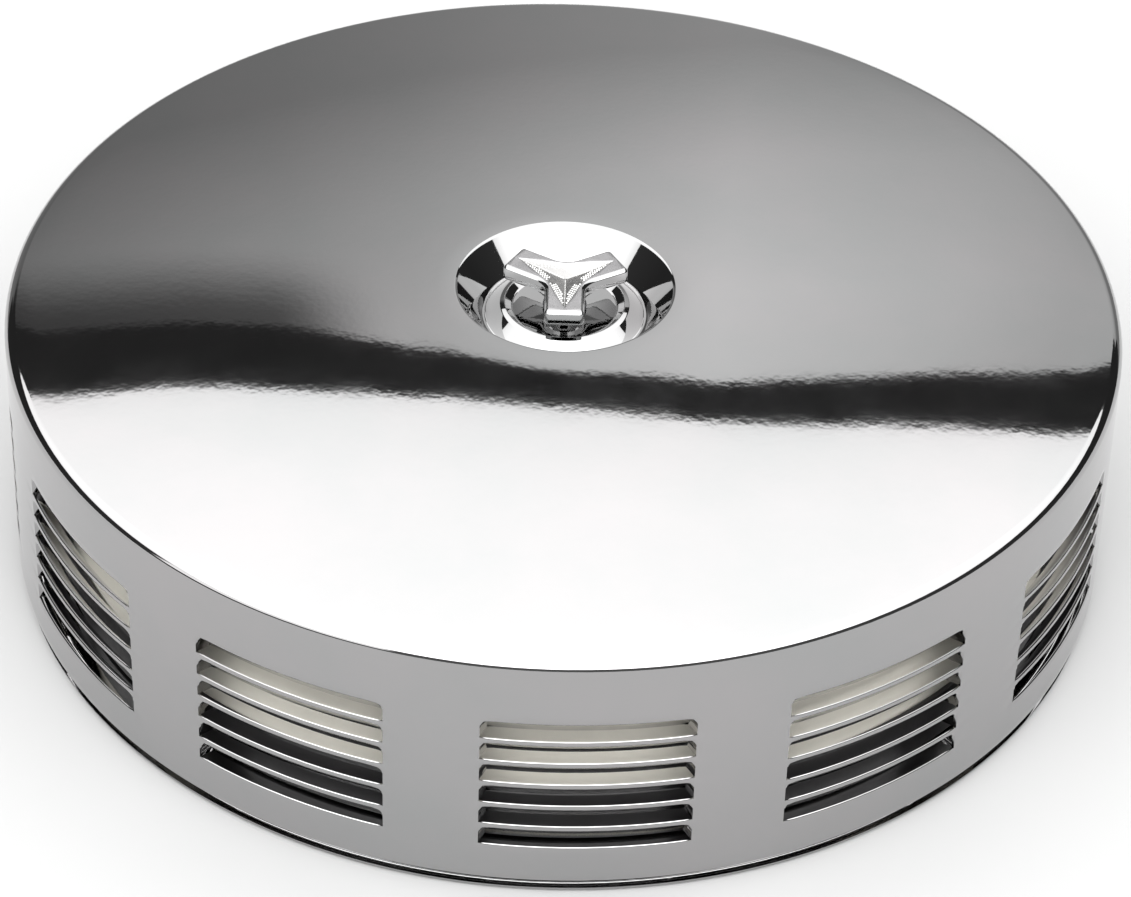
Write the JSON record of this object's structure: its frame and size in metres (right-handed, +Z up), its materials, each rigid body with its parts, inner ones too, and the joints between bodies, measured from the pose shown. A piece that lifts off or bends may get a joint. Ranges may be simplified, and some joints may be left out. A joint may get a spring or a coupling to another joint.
{
  "type": "air filter housing",
  "caption": "Round chrome air filter housing: louvred drawn cover with a recessed centre and three-bar wing nut, over a base plate that holds a ring filter.",
  "frame": {"origin": "centre of the flat underside of the rolled rim that the housing stands on", "axes": "+Z up along the stud and the axis of the cover; -Y is the side seen from the front, where one arm of the wing nut points; +X to the right of it"},
  "size_m": [0.3556, 0.3556, 0.1],
  "materials": {
    "chrome": "bright chrome plate with a faint orange peel",
    "zinc": "zinc plated",
    "brass": "machined",
    "rubber": "matte",
    "seal": "moulded soft polyurethane",
    "paper": "pleated filter paper",
    "wrap": "smooth non-woven wrap"
  },
  "bodies": {
    "base": {"base_plate": "chrome", "carb_gasket": "rubber", "stud_bridge": "zinc", "bridge_rivet_left": "zinc", "bridge_rivet_right": "zinc", "center_stud": "zinc", "bridge_lock_washer": "zinc", "bridge_lock_nut": "zinc", "bridge_lower_nut": "zinc"},
    "filter": {"filter_bottom_seal": "seal", "filter_top_seal": "seal", "filter_media": "paper", "filter_inner_screen": "zinc", "filter_outer_wrap": "wrap"},
    "cover": {"top_cover": "chrome"},
    "washer": {"sealing_washer": "rubber"},
    "nut": {"wing_nut": "chrome", "wing_nut_insert": "brass"}
  },
  "joints": [
    {"name": "filter_lift", "type": "slide", "parent": "base", "child": "filter", "axis": [0, 0, 1], "range_m": [0, 0.1]},
    {"name": "cover_lift", "type": "slide", "parent": "filter", "child": "cover", "axis": [0, 0, 1], "range_m": [0, 0.1]},
    {"name": "nut_rise", "type": "slide", "parent": "cover", "child": "washer", "axis": [0, 0, 1], "range_m": [0, 0.0064]},
    {"name": "nut_turn", "type": "hinge", "parent": "washer", "child": "nut", "pos_m": [0, 0, 0.09], "axis": [0, 0, 1], "range_deg": [0, 1800]}
  ],
  "couplings": [
    {"joint": "nut_rise", "follows": "nut_turn", "m_per_rad": 0.00020213}
  ]
}
